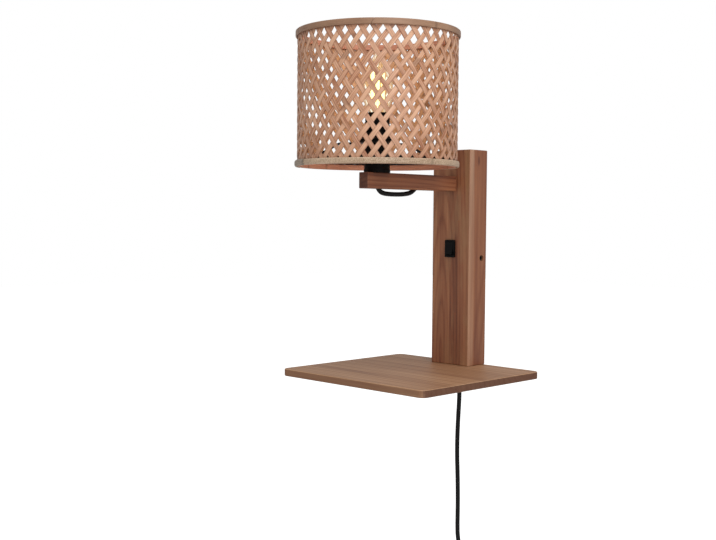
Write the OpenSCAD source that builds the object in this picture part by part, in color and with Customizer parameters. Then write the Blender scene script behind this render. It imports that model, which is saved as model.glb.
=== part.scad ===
// Wall lamp with a shelf: a wooden column on a steel wall bracket carries a shelf at its foot
// and a short arm near its top, with a lampholder and a drum shade woven from bamboo strips.
// Millimetres. The wall is the plane Y = 0 and the lamp stands out from it towards -Y. X points
// to the right of someone who faces the lamp and Z points up. The origin is the centre of the
// wall bracket, on the wall, at half the column's height.

/* [Column] */
// Width of the column across the wall
column_w = 58; // [54:1:70]
// Depth of the column from the wall to its front
column_d = 33; // [32:1:45]
// Height of the column
column_h = 260; // [250:5:320]
// Rounding of the wooden edges
arris = 1.2; // [0.6:0.1:1.6]
// Width of the pocket that is routed into the column's back
pocket_w = 42; // [40:1:44]
// Wood that the pocket leaves at the front of the column
front_wall = 9; // [8:0.5:10]
// Wood that the pocket leaves at each end of the column
pocket_end = 26; // [20:1:30]
// Corner radius of the pocket, as the cutter leaves it
pocket_corner = 4; // [3:0.5:8]

/* [Arm] */
// Width of the arm
arm_w = 14; // [13:0.5:20]
// Height of the arm
arm_h = 18; // [17:0.5:24]
// Length of the arm in front of the column
arm_reach = 152; // [140:1:180]
// Depth of the recess in the column that the arm is glued into
arm_recess = 4; // [2:0.5:5]
// Distance from the column's top down to the arm's top
arm_drop = 31.5; // [20:0.5:36]
// Distance from the column's front to the lampholder's axis
holder_reach = 130; // [120:1:135]
// Width of the cable groove under the arm
groove_w = 7; // [6.5:0.5:8]
// Depth of the cable groove under the arm
groove_depth = 7.5; // [7:0.5:8]
// Length of the cable groove in front of the column
groove_reach = 76; // [74:1:82]

/* [Shelf] */
// Width of the shelf
shelf_w = 222; // [180:2:300]
// Depth of the shelf from the wall
shelf_d = 207; // [150:1:260]
// Thickness of the shelf
shelf_t = 8.5; // [7:0.5:12]
// Radius of the shelf's corners, seen from above
shelf_corner = 9; // [4:1:30]

/* [Shade] */
// Diameter of the shade over its strips
shade_d = 180; // [170:2:200]
// Height of the shade
shade_h = 150; // [140:2:180]
// Height of the shade's lower edge above the arm
shade_lift = 6; // [4:0.5:10]
// Number of bamboo strips in each of the two directions
strip_count = 43; // [36:1:43]
// Width of one bamboo strip
strip_w = 5.3; // [4:0.1:6]
// Thickness of one bamboo strip
strip_t = 0.6; // [0.4:0.1:0.8]
// Lean of the strips from the vertical, in degrees
strip_lean = 34.4; // [28:0.2:36]
// How much more the strips lean to the right than to the left, on each side of that lean
strip_skew = 2.1; // [0:0.1:3]
// Height of the top hoop
top_hoop_h = 6.5; // [5:0.5:9]
// Height of the bottom hoop
bottom_hoop_h = 6.5; // [5:0.5:10]
// Thickness of the outer hoops
hoop_t = 2; // [1.5:0.1:2.4]
// Thickness of the inner hoops
inner_hoop_t = 1.5; // [1:0.1:2]

/* [Shade carrier] */
// Diameter of the carrier's steel wire
wire_d = 3; // [2.5:0.1:3.5]
// Height of the carrier's centre ring above the arm
carrier_rise = 32.5; // [30:0.5:36]
// Level reach of each spoke before it bends down
spoke_level = 47; // [40:1:55]
// Direction of the first spoke, in degrees from +X
spoke_turn = 82; // [0:1:119]
// Thickness of the centre ring
centre_ring_t = 1.5; // [1:0.1:2]

/* [Lampholder and bulb] */
// Diameter of the lampholder's cap
holder_d = 29; // [29:0.5:32]
// Diameter of the lampholder's sleeve
sleeve_d = 27.2; // [27:0.1:27.4]
// Height of the sleeve above the cap
sleeve_h = 34; // [32:0.5:38]
// Diameter of the ring nut that clamps the shade
ring_nut_d = 40; // [36:1:44]
// Height of the ring nut
ring_nut_h = 9.8; // [7:0.2:12]
// Diameter of the bulb
bulb_d = 35; // [34:1:38]
// Height of the bulb above the sleeve
bulb_rise = 71; // [68:1:76]

/* [Switch] */
// Height of the switch's centre above the origin
switch_z = 11.2; // [10:0.2:14]
// Width of the switch's bezel
bezel_w = 15; // [15:0.5:17]
// Height of the switch's bezel
bezel_h = 21; // [21:0.5:23]
// How far the bezel stands in front of the column
bezel_t = 2; // [1.5:0.1:2.2]
// Full travel of the rocker, in degrees
rocker_travel = 16; // [8:1:20]

/* [Wall bracket] */
// Thickness of the bracket's steel
bracket_t = 1.5; // [1.2:0.1:2]
// Height of the bracket
bracket_h = 110; // [100:5:150]
// Distance between the two wall screws
wall_screw_spacing = 80; // [70:5:90]
// Diameter of the holes for the wall screws
wall_hole_d = 4.5; // [4:0.5:6]
// Distance from the wall to the side screws
side_screw_y = 9.5; // [9:0.5:11]
// Diameter of the side screws
side_screw_d = 4; // [3.5:0.5:4]
// Diameter of the side holes in the column
side_hole_d = 7; // [7:0.5:8]
// Height of the two ears that the side screws hold
ear_h = 24; // [18:1:40]

/* [Cord] */
// Diameter of the mains cord and of the cable under the arm
cord_d = 5.5; // [5:0.1:5.6]
// Distance from the wall to the hole that the cord leaves the shelf by
cord_y = 14; // [13.5:0.5:14.5]
// Number of turns of the put-away cord in one layer of its coil
layer_turns = 2; // [1:1:2]
// Radius of the coil's outermost turn, at the middle of the cord
coil_r = 35.4; // [34:0.2:38]

/* [Hidden] */
$fn = 64;
fit_gap = 0.05;              // radial clearance between a pin or screw and its hole
soft_gap = 0.35;             // clearance of a soft piece from what it lies against
cut = 1;                     // how far a cutting solid runs past the face that it opens

// Heights and depths that several pieces share
column_top = column_h / 2;
column_foot = -column_h / 2;
column_front = -column_d;
pocket_d = column_d - front_wall;
pocket_floor = -pocket_d;
arm_top = column_top - arm_drop;
arm_under = arm_top - arm_h;
arm_end = column_front - arm_reach;
holder_y = column_front - holder_reach;
shelf_under = column_foot - shelf_t;
cable_z = arm_under + 3.9;   // the cable's middle where it lies in the groove
cable_hole_d = groove_w + 0.5;

// Shade
shade_r = shade_d / 2;
shade_bottom = arm_top + shade_lift;
shade_top = shade_bottom + shade_h;
strip_layer_gap = 0.3;       // room between the two layers where they cross
strip_steps = 8;             // straight lengths that make up one strip
strip_inset = 0.8;           // the strips end just inside the hoops' edges
strip_height = shade_h - 2 * strip_inset;
right_turn = 5.84;           // where a strip of each layer crosses the shade's mid-height
left_turn = 2.8;
inner_layer_r = shade_r - strip_t - strip_layer_gap;
facet_sag = shade_r * (1 - cos(turn_of(strip_lean + strip_skew) / strip_steps / 2));
inner_hoop_r = inner_layer_r - strip_t - facet_sag - fit_gap;

// Lampholder, from the arm upwards
cap_top = arm_top + carrier_rise;
cap_wall = 1.8;
cap_floor = 3;
sleeve_r = sleeve_d / 2;
sleeve_wall = 1.6;
spigot_h = 7;                // part of the sleeve that goes down into the cap
sleeve_top = cap_top + sleeve_h;
nipple_d = 10;
nipple_bore = 7.4;
nipple_seat = 4.5;           // wood that is left under the nipple
block_bottom = cap_top - 5;
block_top = cap_top + 3;
carrier_z = cap_top + centre_ring_t / 2;
centre_ring_r = ring_nut_d / 2 + 1.5;
spoke_d = wire_d - 0.2;      // a little thinner than the wire ring that it is welded to
spoke_bend_r = 6;

// Bulb
cap_r = 6.85;                // radius of the bulb's screw cap
bulb_base = block_top + 3;
bulb_cap_bottom = bulb_base + 3;
bulb_neck = sleeve_top - 4;
bulb_top = sleeve_top + bulb_rise;
glass_t = 0.8;
filament_h = 36;
filament_bottom = sleeve_top + 9;
filament_ring = 4.6;         // radius of the circle that the filaments stand on
filament_d = 1.5;

// Switch, in the column's front wall
body_w = bezel_w - 2;
body_h = bezel_h - 2;
body_depth = 12.5;
cavity_w = body_w - 2.4;
cavity_h = body_h - 2.4;
cavity_depth = 9;
pivot_y = column_front - 0.5;
pivot_r = 1;
switch_back = column_front + body_depth;
tab_pitch = 7.5;
tab_length = 7;

// Wall bracket and its side screws
bracket_w = pocket_w - 0.6;
ear_reach = side_screw_y + 6;
screw_head_h = 3;
side_head_recess = 2;
side_head_seat = 5;
side_screw_length = 8;

// Wood screws
arm_screw_z = arm_top - 5;
arm_screw_length = 36;
shelf_screw_x = 18;
shelf_screw_length = 30;
wood_screw_d = 4;
wood_head_d = 8;

// Connector and cord clamp on the pocket's floor
connector_size = [17, 13, 18];
connector_z = arm_under - 27.5; // height of the connector's middle
connector_foot = connector_z - connector_size.z / 2;
clamp_size = [27, 11, 9];
clamp_z = column_foot + 47;  // height of the clamp's middle
clamp_screw_x = 9.5;
clamp_screw_d = 3;

// Routes along the middle of each cable. Inside the lamp they follow the pieces that they join.
function mix(a, b, t) = a + (b - a) * t;
loop_end_y = column_front - groove_reach + 10;
arm_cable_route = concat(
  // out of the lampholder, in a loop under the arm and up into the groove
  [for (p = [[0, 39.5], [0, 25.5], [0, 13.5], [0.003, 6.5], [0.025, 1.5], [0.078, -2.5],
             [0.17, -4.7], [0.3, -5.5], [0.45, -5.7], [0.61, -5.5], [0.75, -4.8],
             [0.86, -3.5], [0.94, -1.2], [1, 1.5]])
    [0, mix(holder_y, loop_end_y, p[0]), arm_under + p[1]]],
  // along the groove, through the column's front wall and down to the connector
  [for (p = [[-61, 3.4], [-55, 3.9], [-42, 3.9], [-27, 3.9], [-12, 3.9], [3, 3.9], [9, 3.9],
             [12.6, 1.6], [14.9, -2.8], [15.5, -9.5], [15.5, -18.5]])
    [0, column_front + p[0], arm_under + p[1]]]
);
lead_y = pocket_floor + 7;   // middle of the lead where it lies on the pocket's floor
column_lead_route = concat(
  // through the shelf and the column's foot, and up through the clamp
  [[0, -cord_y, shelf_under], [0, -cord_y, column_foot + 5], [0, -cord_y, column_foot + 18]],
  [for (p = [[2.7, -21], [1, -14], [0, -7], [0, 0], [0, 7]])
    [0, lead_y + p[0], clamp_z + p[1]]],
  // beside the switch and up to the connector
  [for (p = [[1.5, 0, 0.083], [5.5, 0, 0.2], [10, 0, 0.317], [13, 0, 0.433], [13.5, 0, 0.55],
             [13.5, 0, 0.667], [13.5, 0, 0.783], [12.6, -0.2, 0.85], [8.5, -0.5, 0.908],
             [5.3, -0.5, 0.945], [5, -0.5, 0.975], [5, -0.5, 0.9995]])
    [p[0], lead_y + p[1], mix(clamp_z + 7, connector_foot, p[2])]]
);
upper_wire_route = [
  for (p = [[-3, -0.5, 0.998], [-3, -0.5, 0.94], [-3, 0.5, 0.793], [-2.4, 4, 0.553], [-1, 7.5, 0.346],
            [0, 9.4, 0.174], [0, 9, 0.053], [0, 6.8, 0.002], [0, 3.5, 0]])
    [p[0], lead_y + p[1], mix(switch_z + tab_pitch / 2, connector_foot, p[2])]
];
lower_wire_route = [
  for (p = [[-6.5, -0.5, 0.998], [-6.5, -0.5, 0.95], [-6.8, 0.5, 0.836], [-8, 4.5, 0.617], [-8, 8.5, 0.343],
            [-5, 10.4, 0.097], [-1.6, 9.8, 0.01], [0, 7.4, -0.001], [0, 3.5, 0]])
    [p[0], lead_y + p[1], mix(switch_z - tab_pitch / 2, connector_foot, p[2])]
];
// Below the shelf the cord hangs free: these points are chosen by hand
mains_cord_route = [
  [0, -14, -138.55], [0, -14, -142], [0.2, -13.8, -152], [0.6, -13.6, -166], [0.5, -13.9, -180],
  [0, -14.3, -194], [-0.4, -14.6, -208], [-0.7, -14.8, -222], [-0.8, -14.8, -236],
  [-0.7, -14.6, -250], [-0.3, -14.3, -264], [0, -14, -278], [0.2, -13.8, -292],
  [0.3, -13.7, -306], [0.3, -13.7, -320], [0.4, -13.8, -334], [1.2, -13.9, -346],
  [4, -14, -358], [9.5, -14, -370], [17.5, -14, -382], [25.5, -14, -394],
  [31.5, -14, -405], [34.7, -14, -413.5], [35.4, -14, -418.5], [35.4, -14, -421.45]
];

// Coil of put-away cord: four layers, wound in and out in turn
coil_x = 0;
coil_y = -14;
coil_z = -427;
coil_layers = 4;
coil_pitch = cord_d + 0.5;
coil_turns = coil_layers * layer_turns;
rings_per_turn = 24;
straight_end = cord_d;
tail_length = 20.5;
tail_top = coil_z - straight_end;
plug_top = tail_top - tail_length;
tail_y = coil_y - (coil_layers - 1) * coil_pitch;
tie_w = 7;
tie_t = 1.2;
tie_gap = 0.5;               // the turns curve away under the strap, so it stands off a little

// Plug
relief_length = 18;
plug_length = 34;
plug_w = 35.3;
plug_t = 13.7;
plug_face = plug_top - relief_length - plug_length;
pin_d = 4;
pin_length = 19;
pin_spacing = 18.6;

// Colours, as the photograph shows them
wood = [0.55, 0.35, 0.25];
bamboo = [0.74, 0.57, 0.43];
pale_bamboo = [0.72, 0.62, 0.50];
black_plastic = [0.08, 0.08, 0.08];
steel = [0.70, 0.71, 0.72];
brass = [0.78, 0.62, 0.30];

// ---- Shapes that repeat ----

function unit(v) = v / norm(v);

// Direction of a route at one of its points
function heading(route, i) =
  unit(route[min(i + 1, len(route) - 1)] - route[max(i - 1, 0)]);

// One ring of points round a route, turned from a side direction that no stretch runs along
function ring(route, i, radius, sides, side_dir) =
  let (
    along = heading(route, i),
    across = unit(cross(along, side_dir)),
    up = cross(across, along)
  )
  [for (s = [0 : sides - 1])
    route[i] + radius * (cos(360 * s / sides) * across + sin(360 * s / sides) * up)];

// A round cable along a route, closed by flat ends
module cable(route, diameter, sides = 8, side_dir = [0, 1, 0]) {
  last = len(route) - 1;
  points = [for (i = [0 : last]) each ring(route, i, diameter / 2, sides, side_dir)];
  walls = [
    for (i = [0 : last - 1])
      for (s = [0 : sides - 1])
        let (a = i * sides + s, b = i * sides + (s + 1) % sides)
          each [[a, b, b + sides], [a, b + sides, a + sides]]
  ];
  first_end = [for (s = [1 : sides - 2]) [0, s + 1, s]];
  last_end = [for (s = [1 : sides - 2]) [last * sides, last * sides + s, last * sides + s + 1]];
  polyhedron(points = points, faces = concat(walls, first_end, last_end), convexity = 10);
}

// A board with round corners in plan and softened edges; low is its lowest corner
module board(low, size, corner, edge) {
  steps = 3;
  hull() {
    for (x = [low.x + corner, low.x + size.x - corner])
      for (y = [low.y + corner, low.y + size.y - corner])
        for (k = [0 : steps])
          let (a = 90 * k / steps, inset = edge * (1 - sin(a)))
            translate([x, y, low.z + inset])
              cylinder(r = corner - edge * (1 - cos(a)), h = size.z - 2 * inset, $fn = 24);
  }
}

// A box whose upright (Y-facing) outline has round corners
module slab_y(x, z, y_from, y_to, w, h, corner) {
  translate([x, y_to, z])
    rotate([90, 0, 0])
      linear_extrude(y_to - y_from)
        rounded_outline(w, h, corner);
}

// An outline with round corners about its own centre
module rounded_outline(w, h, corner) {
  square([w - 2 * corner, h], center = true);
  square([w, h - 2 * corner], center = true);
  for (x = [-1, 1])
    for (y = [-1, 1])
      translate([x * (w / 2 - corner), y * (h / 2 - corner)])
        circle(r = corner);
}

// A countersunk wood screw along +Z, with its flat head at the bottom and its point on top
module wood_screw(length, diameter, head_d) {
  head_h = (head_d - diameter) / 2;
  difference() {
    rotate_extrude()
      polygon([
        [0, 0], [head_d / 2, 0], [head_d / 2, 0.4], [diameter / 2, head_h + 0.4],
        [diameter / 2, length - 4], [0, length]
      ]);
    for (turn = [0, 90])
      rotate([0, 0, turn])
        driver_slot(head_d * 0.55, 0.9, head_h - 0.2);
  }
}

// A slot for the driver, cut into a head that faces -Z at z = 0
module driver_slot(length, width, depth) {
  translate([-length / 2, -width / 2, -cut])
    cube([length, width, depth + cut]);
}

// The hole for such a screw
module wood_screw_hole(length, diameter, head_d) {
  head_h = (head_d - diameter) / 2;
  rotate_extrude()
    polygon([
      [0, -cut], [head_d / 2 + fit_gap, -cut], [head_d / 2 + fit_gap, 0.4],
      [diameter / 2 + fit_gap, head_h + 0.4], [diameter / 2 + fit_gap, length - 4 + 0.1],
      [0, length + 0.5]
    ]);
}

// A ring with a plain rectangular section
module band(inner_r, outer_r, bottom, top) {
  difference() {
    translate([0, 0, bottom])
      cylinder(r = outer_r, h = top - bottom, $fn = 128);
    translate([0, 0, bottom - cut])
      cylinder(r = inner_r, h = top - bottom + 2 * cut, $fn = 128);
  }
}

// ---- Wood ----

module column() {
  color(wood)
    difference() {
      board([-column_w / 2, -column_d, column_foot], [column_w, column_d, column_h], arris + 0.2, arris);
      // pocket in the back
      slab_y(0, 0, pocket_floor, cut, pocket_w, column_h - 2 * pocket_end, pocket_corner);
      // recess for the arm, with the screw and the cable behind it
      translate([-arm_w / 2, column_front - cut, arm_under])
        cube([arm_w, arm_recess + cut, arm_h]);
      arm_screw_place()
        wood_screw_hole(arm_screw_length, wood_screw_d, wood_head_d);
      translate([0, pocket_floor + cut, cable_z])
        rotate([90, 0, 0])
          cylinder(d = cable_hole_d, h = front_wall + cut);
      // opening for the switch
      slab_y(0, switch_z, column_front - cut, pocket_floor + cut, body_w + 0.2, body_h + 0.2, 0.6);
      // holes for the side screws
      side_screw_places() {
        translate([0, 0, -cut])
          cylinder(d = side_hole_d, h = side_head_seat + cut);
        cylinder(d = side_screw_d + 0.5, h = (column_w - pocket_w) / 2 + cut);
      }
      // way out for the cord, and the shelf's screws
      translate([0, -cord_y, column_foot - cut])
        cylinder(d = cable_hole_d, h = pocket_end + 2 * cut);
      shelf_screw_places()
        wood_screw_hole(shelf_screw_length, wood_screw_d, wood_head_d);
    }
}

module arm() {
  length = arm_reach + arm_recess;
  color(wood)
    difference() {
      board([-arm_w / 2, arm_end, arm_under], [arm_w, length, arm_h], arris, arris - 0.2);
      // seat for the nipple, and a wider mouth for the cable below it
      translate([0, holder_y, arm_under + nipple_seat])
        cylinder(r = nipple_d / 2 + fit_gap, h = arm_h);
      translate([0, holder_y, arm_under - cut])
        cylinder(d = cable_hole_d, h = arm_h);
      translate([0, holder_y + 3, arm_under - cut])
        cylinder(d = cable_hole_d, h = nipple_seat + cut);
      // groove for the cable, with a round end
      translate([-groove_w / 2, column_front - groove_reach + groove_w / 2, arm_under - cut])
        cube([groove_w, length, groove_depth + cut]);
      translate([0, column_front - groove_reach + groove_w / 2, arm_under - cut])
        cylinder(d = groove_w, h = groove_depth + cut);
      arm_screw_place()
        wood_screw_hole(arm_screw_length, wood_screw_d, wood_head_d);
    }
}

module shelf() {
  color(wood)
    difference() {
      board([-shelf_w / 2, -shelf_d, shelf_under], [shelf_w, shelf_d, shelf_t], shelf_corner, arris);
      translate([0, -cord_y, shelf_under - cut])
        cylinder(d = cable_hole_d, h = shelf_t + 2 * cut);
      shelf_screw_places()
        wood_screw_hole(shelf_screw_length, wood_screw_d, wood_head_d);
    }
}

module arm_screw_place() {
  translate([0, pocket_floor, arm_screw_z])
    rotate([90, 0, 0])
      children();
}

module shelf_screw_places() {
  for (x = [-shelf_screw_x, shelf_screw_x])
    translate([x, -cord_y, shelf_under])
      children();
}

// Side screws lie along X: +Z of the child points inwards from the column's side
module side_screw_places() {
  for (side = [-1, 1])
    translate([side * column_w / 2, -side_screw_y, 0])
      rotate([0, -side * 90, 0])
        children();
}

module arm_screw() {
  color(steel)
    arm_screw_place()
      wood_screw(arm_screw_length, wood_screw_d, wood_head_d);
}

module shelf_screws() {
  color(steel)
    shelf_screw_places()
      wood_screw(shelf_screw_length, wood_screw_d, wood_head_d);
}

// ---- Wall bracket ----

module wall_bracket() {
  color(steel)
    difference() {
      union() {
        slab_y(0, 0, -bracket_t, 0, bracket_w, bracket_h, 3);
        for (side = [-1, 1])
          translate([side * (bracket_w - bracket_t) / 2, 0, 0])
            rotate([0, 90, 0])
              linear_extrude(bracket_t, center = true)
                ear_outline();
      }
      for (z = [-1, 1])
        translate([0, cut, z * wall_screw_spacing / 2])
          rotate([90, 0, 0])
            cylinder(d = wall_hole_d, h = bracket_t + 2 * cut);
      side_screw_places()
        cylinder(r = side_screw_d / 2 + fit_gap, h = column_w / 2);
    }
}

// An ear seen from the side: its outer end is round at both corners
module ear_outline() {
  round_r = 4;
  translate([0, -ear_reach / 2 - 0.25])
    square([ear_h - 2 * round_r, ear_reach - 0.5], center = true);
  translate([-ear_h / 2, -ear_reach + round_r])
    square([ear_h, ear_reach - round_r - 0.5]);
  for (z = [-1, 1])
    translate([z * (ear_h / 2 - round_r), -ear_reach + round_r])
      circle(r = round_r);
}

module bracket_screws() {
  color(black_plastic)
    side_screw_places()
      difference() {
        union() {
          translate([0, 0, side_head_recess])
            cylinder(d = side_hole_d - 0.3, h = screw_head_h);
          translate([0, 0, side_head_recess + screw_head_h])
            cylinder(d = side_screw_d, h = side_screw_length);
        }
        translate([0, 0, side_head_recess - cut])
          cylinder(d = 2.9, h = 1.8 + cut, $fn = 6);
      }
}

// ---- Lampholder ----

module on_holder_axis() {
  translate([0, holder_y, 0])
    children();
}

module threaded_nipple() {
  color(brass)
    on_holder_axis()
      translate([0, 0, arm_under + nipple_seat])
        difference() {
          cylinder(d = nipple_d, h = arm_h - nipple_seat + 9);
          translate([0, 0, -cut])
            cylinder(d = nipple_bore, h = arm_h + 9 + 2 * cut);
        }
}

module lampholder_cap() {
  r = holder_d / 2;
  color(black_plastic)
    on_holder_axis()
      rotate_extrude($fn = 96)
        polygon([
          [nipple_d / 2 + fit_gap, arm_top], [r + 0.4, arm_top], [r + 0.4, arm_top + 3],
          [r, arm_top + 4], [r, cap_top - 0.6], [r - 0.6, cap_top], [r - cap_wall, cap_top],
          [r - cap_wall, arm_top + cap_floor], [nipple_d / 2 + 3, arm_top + cap_floor],
          [nipple_d / 2 + 3, arm_top + 8], [nipple_d / 2 + fit_gap, arm_top + 8]
        ]);
}

module lampholder_sleeve() {
  spigot_r = holder_d / 2 - cap_wall - fit_gap;
  bore_r = sleeve_r - sleeve_wall;
  color(black_plastic)
    on_holder_axis()
      rotate_extrude($fn = 96)
        polygon([
          [bore_r, cap_top - spigot_h], [spigot_r, cap_top - spigot_h], [spigot_r, cap_top],
          [sleeve_r, cap_top], [sleeve_r, sleeve_top - 1], [sleeve_r - 0.6, sleeve_top],
          [bore_r, sleeve_top]
        ]);
}

module contact_block() {
  block_r = sleeve_r - sleeve_wall - fit_gap;
  color([0.85, 0.83, 0.78])
    on_holder_axis()
      difference() {
        translate([0, 0, block_bottom])
          cylinder(r = block_r, h = block_top - block_bottom);
        // wells for the two wire terminals, from below
        for (side = [-1, 1])
          translate([side * 7, 0, block_bottom - cut])
            cylinder(d = 4.5, h = 4 + cut);
      }
}

module screw_shell() {
  color(brass)
    on_holder_axis()
      band_fine(cap_r + 0.15, cap_r + 0.55, block_top, sleeve_top - 7);
}

module band_fine(inner_r, outer_r, bottom, top) {
  rotate_extrude($fn = 64)
    translate([inner_r, bottom])
      square([outer_r - inner_r, top - bottom]);
}

// A springy brass strip that rises to the bulb's tip
module centre_contact() {
  color(brass)
    on_holder_axis()
      translate([0, 2, block_top])
        rotate([90, 0, 0])
          linear_extrude(4)
            polygon([
              [-5, 0], [-2.6, 0], [-1.2, 2.3], [2.2, 2.5], [2.2, 2.9], [-1.5, 2.8], [-3, 0.5], [-5, 0.5]
            ]);
}

module shade_ring_nut() {
  bottom = cap_top + centre_ring_t;
  r = ring_nut_d / 2;
  grips = 24;
  color(black_plastic)
    on_holder_axis()
      difference() {
        rotate_extrude($fn = 96)
          polygon([
            [sleeve_r + fit_gap, bottom], [r, bottom], [r, bottom + 3], [r - 1.6, bottom + 3.6],
            [r - 1.6, bottom + ring_nut_h - 0.8], [r - 2.4, bottom + ring_nut_h],
            [sleeve_r + fit_gap, bottom + ring_nut_h]
          ]);
        for (k = [0 : grips - 1])
          rotate([0, 0, 360 / grips * k])
            translate([r + 0.1, 0, bottom - cut])
              cylinder(d = 1.6, h = 3 + cut, $fn = 16);
      }
}

// ---- Shade ----

module shade_carrier() {
  // the wire ring lies on the lower inner hoop
  ring_r = inner_hoop_r - wire_d / 2;
  ring_z = shade_bottom + bottom_hoop_h + wire_d / 2 + fit_gap;
  color(black_plastic)
    on_holder_axis() {
      difference() {
        union() {
          translate([0, 0, cap_top])
            cylinder(r = centre_ring_r, h = centre_ring_t);
          for (k = [0 : 2])
            rotate([0, 0, spoke_turn + 120 * k])
              spoke(centre_ring_r - 1.2, ring_r, ring_z);
        }
        translate([0, 0, cap_top - 5])
          cylinder(r = sleeve_r + fit_gap, h = 10);
      }
      rotate_extrude($fn = 128)
        translate([ring_r, ring_z])
          circle(d = wire_d, $fn = 24);
    }
}

// One spoke: level from the centre ring, a round bend, then down to the wire ring at the
// shade's lower hoop. The bend is drawn a little thicker and runs over both straight ends.
module spoke(inner, ring_r, ring_z) {
  fall = [ring_r - spoke_level, ring_z - carrier_z];
  droop = -atan2(fall[1], fall[0]);
  corner = spoke_bend_r * tan(droop / 2);
  overlap = 0.3;
  translate([inner, 0, carrier_z])
    rotate([0, 90, 0])
      cylinder(d = spoke_d, h = spoke_level - corner - inner + overlap, $fn = 24);
  translate([spoke_level - corner, 0, carrier_z - spoke_bend_r])
    rotate([90, 0, 0])
      rotate([0, 0, 90 - droop])
        rotate_extrude(angle = droop, $fn = 96)
          translate([spoke_bend_r, 0])
            circle(d = spoke_d + 0.1, $fn = 24);
  translate([spoke_level, 0, carrier_z])
    rotate([0, 90 + droop, 0])
      translate([0, 0, corner - overlap])
        cylinder(d = spoke_d, h = norm(fall) - corner + overlap, $fn = 24);
}

// A hoop whose outer side is rounded
module outer_hoop(bottom, height, flatness) {
  inner = shade_r + fit_gap;
  round_steps = 8;
  rotate_extrude($fn = 128)
    polygon(concat(
      [[inner, bottom]],
      [for (k = [0 : round_steps])
        let (a = -90 + 180 * k / round_steps)
          [inner + flatness + (hoop_t - flatness) * cos(a), bottom + height / 2 * (1 + sin(a))]],
      [[inner, bottom + height]]
    ));
}

module top_hoop_outer() {
  color(bamboo)
    on_holder_axis()
      outer_hoop(shade_top - top_hoop_h, top_hoop_h, hoop_t * 0.6);
}

module bottom_hoop_outer() {
  color(pale_bamboo)
    on_holder_axis()
      outer_hoop(shade_bottom, bottom_hoop_h, hoop_t * 0.2);
}

module top_hoop_inner() {
  color(bamboo)
    on_holder_axis()
      band(inner_hoop_r - inner_hoop_t, inner_hoop_r, shade_top - top_hoop_h, shade_top);
}

module bottom_hoop_inner() {
  color(bamboo)
    on_holder_axis()
      band(inner_hoop_r - inner_hoop_t, inner_hoop_r, shade_bottom, shade_bottom + bottom_hoop_h);
}

// Degrees that a strip goes round the drum from its foot to its head
function turn_of(lean) = strip_height * tan(lean) / shade_r * 180 / PI;

// One strip: a flat bamboo band that climbs round the drum. side is +1 or -1, the way it leans.
module leaning_strip(outer, side) {
  lean = strip_lean + side * strip_skew;
  half_angle = strip_w / 2 / cos(lean) / shade_r * 180 / PI;
  radii = [outer, outer, outer - strip_t, outer - strip_t];
  halves = [-half_angle, half_angle, half_angle, -half_angle];
  points = [
    for (i = [0 : strip_steps])
      for (c = [0 : 3])
        let (a = side * turn_of(lean) * (i / strip_steps - 0.5) + halves[c])
          [radii[c] * cos(a), radii[c] * sin(a), strip_height * i / strip_steps]
  ];
  // the wide faces are split along their short diagonal, so that both follow the drum
  walls = [
    for (i = [0 : strip_steps - 1])
      for (c = [0 : 3])
        let (a = 4 * i + c, b = 4 * i + (c + 1) % 4)
          each (c == (side > 0 ? 0 : 2))
            ? [[a, a + 4, b], [b, a + 4, b + 4]]
            : [[a, b + 4, b], [a, a + 4, b + 4]]
  ];
  top = 4 * strip_steps;
  ends = [[0, 1, 2], [0, 2, 3], [top, top + 2, top + 1], [top, top + 3, top + 2]];
  polyhedron(points = points, faces = concat(walls, ends), convexity = 4);
}

module strip_layer(outer, side, turn) {
  on_holder_axis()
    translate([0, 0, shade_bottom + strip_inset])
      for (k = [0 : strip_count - 1])
        rotate([0, 0, 360 / strip_count * k + turn])
          leaning_strip(outer, side);
}

module strips_leaning_right() {
  color(bamboo)
    strip_layer(shade_r, 1, right_turn);
}

module strips_leaning_left() {
  color(bamboo)
    strip_layer(inner_layer_r, -1, left_turn);
}

// ---- Bulb ----

// Points of a smooth curve through four control points
function curve(p0, p1, p2, p3, steps) = [
  for (k = [0 : steps])
    let (t = k / steps, s = 1 - t)
      s * s * s * p0 + 3 * s * s * t * p1 + 3 * s * t * t * p2 + t * t * t * p3
];

// Outline of the candle bulb's glass, from the neck to the tip, drawn in by a wall
function glass_outline(wall) =
  let (
    r = bulb_d / 2 - wall,
    neck_r = cap_r - 0.5 - wall,
    widest = sleeve_top + bulb_rise * 0.36
  )
  concat(
    [[neck_r, bulb_neck - 8]],
    curve([neck_r, bulb_neck], [neck_r + 3, bulb_neck + 6], [r, widest - 16], [r, widest], 8),
    curve([r, widest], [r, widest + 16], [5 - wall, bulb_top - 8 - wall], [0.01, bulb_top - wall], 10)
  );

module bulb_glass() {
  outside = glass_outline(0);
  inside = glass_outline(glass_t);
  color([0.95, 0.95, 0.92, 0.3])
    on_holder_axis()
      rotate_extrude($fn = 64)
        polygon(concat(outside, [for (k = [len(inside) - 1 : -1 : 0]) inside[k]]));
}

module bulb_screw_cap() {
  wall = 0.4;
  color(steel)
    on_holder_axis()
      rotate_extrude($fn = 64)
        polygon([
          [4, bulb_cap_bottom], [cap_r, bulb_cap_bottom + 2.4], [cap_r, bulb_neck],
          [cap_r - wall, bulb_neck], [cap_r - wall, bulb_cap_bottom + 2.6],
          [4, bulb_cap_bottom + 0.4]
        ]);
}

module bulb_contact() {
  color([0.2, 0.2, 0.2])
    on_holder_axis()
      rotate_extrude($fn = 48)
        polygon([
          [0, bulb_base], [2, bulb_base], [2.6, bulb_base + 1], [4, bulb_cap_bottom + 0.4 - 0.5],
          [4, bulb_cap_bottom + 0.9], [3.9, bulb_cap_bottom + 1.6], [0, bulb_cap_bottom + 1.6]
        ]);
}

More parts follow.
